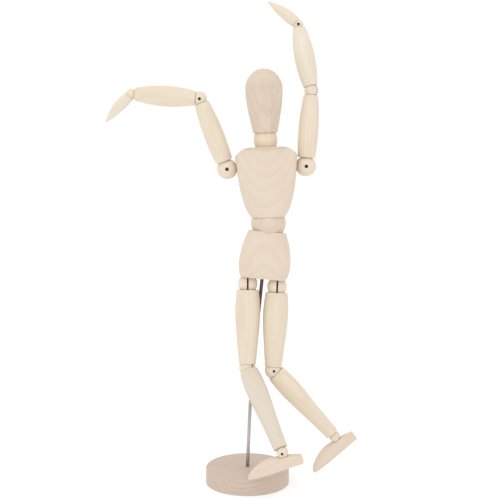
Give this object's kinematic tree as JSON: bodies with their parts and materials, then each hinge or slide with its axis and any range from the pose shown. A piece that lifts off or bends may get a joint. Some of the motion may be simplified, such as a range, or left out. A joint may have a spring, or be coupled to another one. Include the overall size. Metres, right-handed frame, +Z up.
{
  "type": "artist mannequin",
  "caption": "Jointed wooden artist figure with ball-and-pin joints, posed on a bent steel rod and a round wooden base.",
  "frame": {"origin": "centre of the underside of the base", "axes": "+Z up, the figure faces -Y, +X is towards the figure's left"},
  "size_m": [0.1765, 0.0767, 0.3418],
  "materials": {
    "trunk_wood": "satin",
    "head_wood": "satin",
    "ball_wood": "satin",
    "limb_wood": "satin",
    "base_wood": "satin",
    "rod_steel": "drawn",
    "pin_steel": "dull",
    "spring_steel": "plain"
  },
  "bodies": {
    "stand": {"base_disc": "base_wood", "support_rod": "rod_steel"},
    "pelvis": {"pelvis": "trunk_wood", "pelvis_pin": "pin_steel", "hip_springs": "spring_steel"},
    "waist_ball": {"waist_ball": "ball_wood"},
    "torso": {"torso": "trunk_wood", "torso_pins": "pin_steel", "torso_springs": "spring_steel"},
    "neck": {"neck": "ball_wood"},
    "head": {"head": "head_wood", "head_pin": "pin_steel"},
    "right_shoulder_ball": {"right_shoulder_ball": "ball_wood", "right_shoulder_pin": "pin_steel"},
    "right_elbow_ball": {"right_elbow_ball": "ball_wood", "right_elbow_pin": "pin_steel"},
    "right_wrist_ball": {"right_wrist_ball": "ball_wood", "right_wrist_pin": "pin_steel"},
    "right_hip_ball": {"right_hip_ball": "ball_wood", "right_hip_pin": "pin_steel"},
    "right_knee_ball": {"right_knee_ball": "ball_wood", "right_knee_pin": "pin_steel"},
    "right_ankle_ball": {"right_ankle_ball": "ball_wood", "right_ankle_pin": "pin_steel"},
    "right_upper_arm": {"right_upper_arm": "limb_wood", "right_upper_arm_spring": "spring_steel"},
    "right_forearm": {"right_forearm": "limb_wood", "right_forearm_spring": "spring_steel"},
    "right_thigh": {"right_thigh": "limb_wood", "right_thigh_spring": "spring_steel"},
    "right_shin": {"right_shin": "limb_wood", "right_shin_spring": "spring_steel"},
    "right_hand": {"right_hand": "limb_wood", "right_hand_wire": "spring_steel"},
    "right_foot": {"right_foot": "limb_wood", "right_foot_wire": "spring_steel"},
    "left_shoulder_ball": {"left_shoulder_ball": "ball_wood", "left_shoulder_pin": "pin_steel"},
    "left_elbow_ball": {"left_elbow_ball": "ball_wood", "left_elbow_pin": "pin_steel"},
    "left_wrist_ball": {"left_wrist_ball": "ball_wood", "left_wrist_pin": "pin_steel"},
    "left_hip_ball": {"left_hip_ball": "ball_wood", "left_hip_pin": "pin_steel"},
    "left_knee_ball": {"left_knee_ball": "ball_wood", "left_knee_pin": "pin_steel"},
    "left_ankle_ball": {"left_ankle_ball": "ball_wood", "left_ankle_pin": "pin_steel"},
    "left_upper_arm": {"left_upper_arm": "limb_wood", "left_upper_arm_spring": "spring_steel"},
    "left_forearm": {"left_forearm": "limb_wood", "left_forearm_spring": "spring_steel"},
    "left_thigh": {"left_thigh": "limb_wood", "left_thigh_spring": "spring_steel"},
    "left_shin": {"left_shin": "limb_wood", "left_shin_spring": "spring_steel"},
    "left_hand": {"left_hand": "limb_wood", "left_hand_wire": "spring_steel"},
    "left_foot": {"left_foot": "limb_wood", "left_foot_wire": "spring_steel"}
  },
  "joints": [
    {"name": "pelvis_turn", "type": "hinge", "parent": "stand", "child": "pelvis", "pos_m": [0.01055, 0.0054, 0.1486], "axis": [0.0992, 0.039, 0.9943], "range_deg": [-180, 180]},
    {"name": "waist_turn", "type": "hinge", "parent": "pelvis", "child": "waist_ball", "pos_m": [0.01482, 0.00275, 0.18772], "axis": [0.0956, 0.0698, 0.993], "range_deg": [-45, 45], "deforming": ["torso_springs"]},
    {"name": "waist_bend", "type": "hinge", "parent": "waist_ball", "child": "torso", "pos_m": [0.01482, 0.00275, 0.18772], "axis": [0.9993, 0, 0.0366], "range_deg": [-25, 25], "deforming": ["torso_springs"]},
    {"name": "neck_turn", "type": "hinge", "parent": "torso", "child": "neck", "pos_m": [0.01285, 0.00275, 0.24099], "axis": [0.0349, 0, -0.9994], "range_deg": [-90, 90], "deforming": ["torso_springs"]},
    {"name": "head_nod", "type": "hinge", "parent": "neck", "child": "head", "pos_m": [0.01277, 0.00275, 0.24344], "axis": [0.9994, 0, 0.0349], "range_deg": [-25, 25], "deforming": ["torso_springs"]},
    {"name": "right_shoulder_swing", "type": "hinge", "parent": "torso", "child": "right_shoulder_ball", "pos_m": [-0.01419, 0.00275, 0.22569], "axis": [0.9993, 0, 0.0366], "range_deg": [-100, 100], "deforming": ["torso_springs", "right_upper_arm_spring"]},
    {"name": "right_shoulder_raise", "type": "hinge", "parent": "right_shoulder_ball", "child": "right_upper_arm", "pos_m": [-0.01419, 0.00275, 0.22569], "axis": [0, -1, 0], "range_deg": [-15, 110], "deforming": ["right_upper_arm_spring"]},
    {"name": "right_elbow_twist", "type": "hinge", "parent": "right_upper_arm", "child": "right_elbow_ball", "pos_m": [-0.0329, -0.00182, 0.27442], "axis": [-0.357, -0.0872, 0.93], "range_deg": [-90, 90], "deforming": ["right_upper_arm_spring", "right_forearm_spring"]},
    {"name": "right_elbow_bend", "type": "hinge", "parent": "right_elbow_ball", "child": "right_forearm", "pos_m": [-0.0329, -0.00182, 0.27442], "axis": [-0.0062, -0.9954, -0.0957], "range_deg": [-85, 2], "deforming": ["right_forearm_spring"]},
    {"name": "right_wrist_twist", "type": "hinge", "parent": "right_forearm", "child": "right_wrist_ball", "pos_m": [-0.0802, -0.00182, 0.27748], "axis": [0.9979, 0, -0.0645], "range_deg": [-90, 90], "deforming": ["right_forearm_spring"]},
    {"name": "right_wrist_bend", "type": "hinge", "parent": "right_wrist_ball", "child": "right_hand", "pos_m": [-0.0802, -0.00182, 0.27748], "axis": [0, 1, 0], "range_deg": [-20, 70]},
    {"name": "right_hip_twist", "type": "hinge", "parent": "pelvis", "child": "right_hip_ball", "pos_m": [0.00024, -0.00026, 0.14483], "axis": [0.0956, 0.0698, 0.993], "range_deg": [-30, 8], "deforming": ["hip_springs", "right_thigh_spring"]},
    {"name": "right_hip_swing", "type": "hinge", "parent": "right_hip_ball", "child": "right_thigh", "pos_m": [0.00024, -0.00026, 0.14483], "axis": [-1, 0.0006, 0.0052], "range_deg": [0, 55], "deforming": ["right_thigh_spring"]},
    {"name": "right_knee_twist", "type": "hinge", "parent": "right_thigh", "child": "right_knee_ball", "pos_m": [-0.00007, -0.00711, 0.08562], "axis": [-0.0052, -0.1149, -0.9934], "range_deg": [-60, 60], "deforming": ["right_thigh_spring", "right_shin_spring"]},
    {"name": "right_knee_bend", "type": "hinge", "parent": "right_knee_ball", "child": "right_shin", "pos_m": [-0.00007, -0.00711, 0.08562], "axis": [0.7659, 0.6383, -0.0779], "range_deg": [-12, 15], "deforming": ["right_shin_spring"]},
    {"name": "right_ankle_twist", "type": "hinge", "parent": "right_shin", "child": "right_ankle_ball", "pos_m": [0.02379, -0.04188, 0.03537], "axis": [0.3638, -0.5299, -0.7661], "range_deg": [-60, 60], "deforming": ["right_shin_spring"]},
    {"name": "right_ankle_bend", "type": "hinge", "parent": "right_ankle_ball", "child": "right_foot", "pos_m": [0.02379, -0.04188, 0.03537], "axis": [0.0872, 0.9962, 0], "range_deg": [-30, 18]},
    {"name": "left_shoulder_swing", "type": "hinge", "parent": "torso", "child": "left_shoulder_ball", "pos_m": [0.04097, 0.00275, 0.22771], "axis": [0.9993, 0, 0.0366], "range_deg": [-100, 100], "deforming": ["torso_springs", "left_upper_arm_spring"]},
    {"name": "left_shoulder_raise", "type": "hinge", "parent": "left_shoulder_ball", "child": "left_upper_arm", "pos_m": [0.04097, 0.00275, 0.22771], "axis": [0, -1, 0], "range_deg": [-165, 2], "deforming": ["left_upper_arm_spring"]},
    {"name": "left_elbow_twist", "type": "hinge", "parent": "left_upper_arm", "child": "left_elbow_ball", "pos_m": [0.04444, 0.00275, 0.27999], "axis": [0.0663, 0, 0.9978], "range_deg": [-90, 90], "deforming": ["left_upper_arm_spring", "left_forearm_spring"]},
    {"name": "left_elbow_bend", "type": "hinge", "parent": "left_elbow_ball", "child": "left_forearm", "pos_m": [0.04444, 0.00275, 0.27999], "axis": [-0.5233, -0.8514, 0.0348], "range_deg": [-85, 5], "deforming": ["left_forearm_spring"]},
    {"name": "left_wrist_twist", "type": "hinge", "parent": "left_forearm", "child": "left_wrist_ball", "pos_m": [0.03543, 0.01016, 0.32593], "axis": [0.1902, -0.1564, -0.9692], "range_deg": [-90, 90], "deforming": ["left_forearm_spring"]},
    {"name": "left_wrist_bend", "type": "hinge", "parent": "left_wrist_ball", "child": "left_hand", "pos_m": [0.03543, 0.01016, 0.32593], "axis": [0, 1, 0], "range_deg": [-20, 65]},
    {"name": "left_hip_twist", "type": "hinge", "parent": "pelvis", "child": "left_hip_ball", "pos_m": [0.02094, -0.0004, 0.14284], "axis": [-0.0956, -0.0698, -0.993], "range_deg": [-35, 35], "deforming": ["hip_springs", "left_thigh_spring"]},
    {"name": "left_hip_swing", "type": "hinge", "parent": "left_hip_ball", "child": "left_thigh", "pos_m": [0.02094, -0.0004, 0.14284], "axis": [0.9989, -0.0044, -0.0467], "range_deg": [-55, 25], "deforming": ["left_thigh_spring"]},
    {"name": "left_knee_twist", "type": "hinge", "parent": "left_thigh", "child": "left_knee_ball", "pos_m": [0.01815, -0.00601, 0.08357], "axis": [-0.0469, -0.0941, -0.9945], "range_deg": [-50, 45], "deforming": ["left_thigh_spring", "left_shin_spring"]},
    {"name": "left_knee_bend", "type": "hinge", "parent": "left_knee_ball", "child": "left_shin", "pos_m": [0.01815, -0.00601, 0.08357], "axis": [-0.0977, 0.9912, -0.0892], "range_deg": [-6, 10], "deforming": ["left_shin_spring"]},
    {"name": "left_ankle_twist", "type": "hinge", "parent": "left_shin", "child": "left_ankle_ball", "pos_m": [0.06238, -0.00601, 0.03513], "axis": [-0.6743, 0, 0.7385], "range_deg": [-60, 60], "deforming": ["left_shin_spring"]},
    {"name": "left_ankle_bend", "type": "hinge", "parent": "left_ankle_ball", "child": "left_foot", "pos_m": [0.06238, -0.00601, 0.03513], "axis": [0, 1, 0], "range_deg": [-30, 25]}
  ]
}
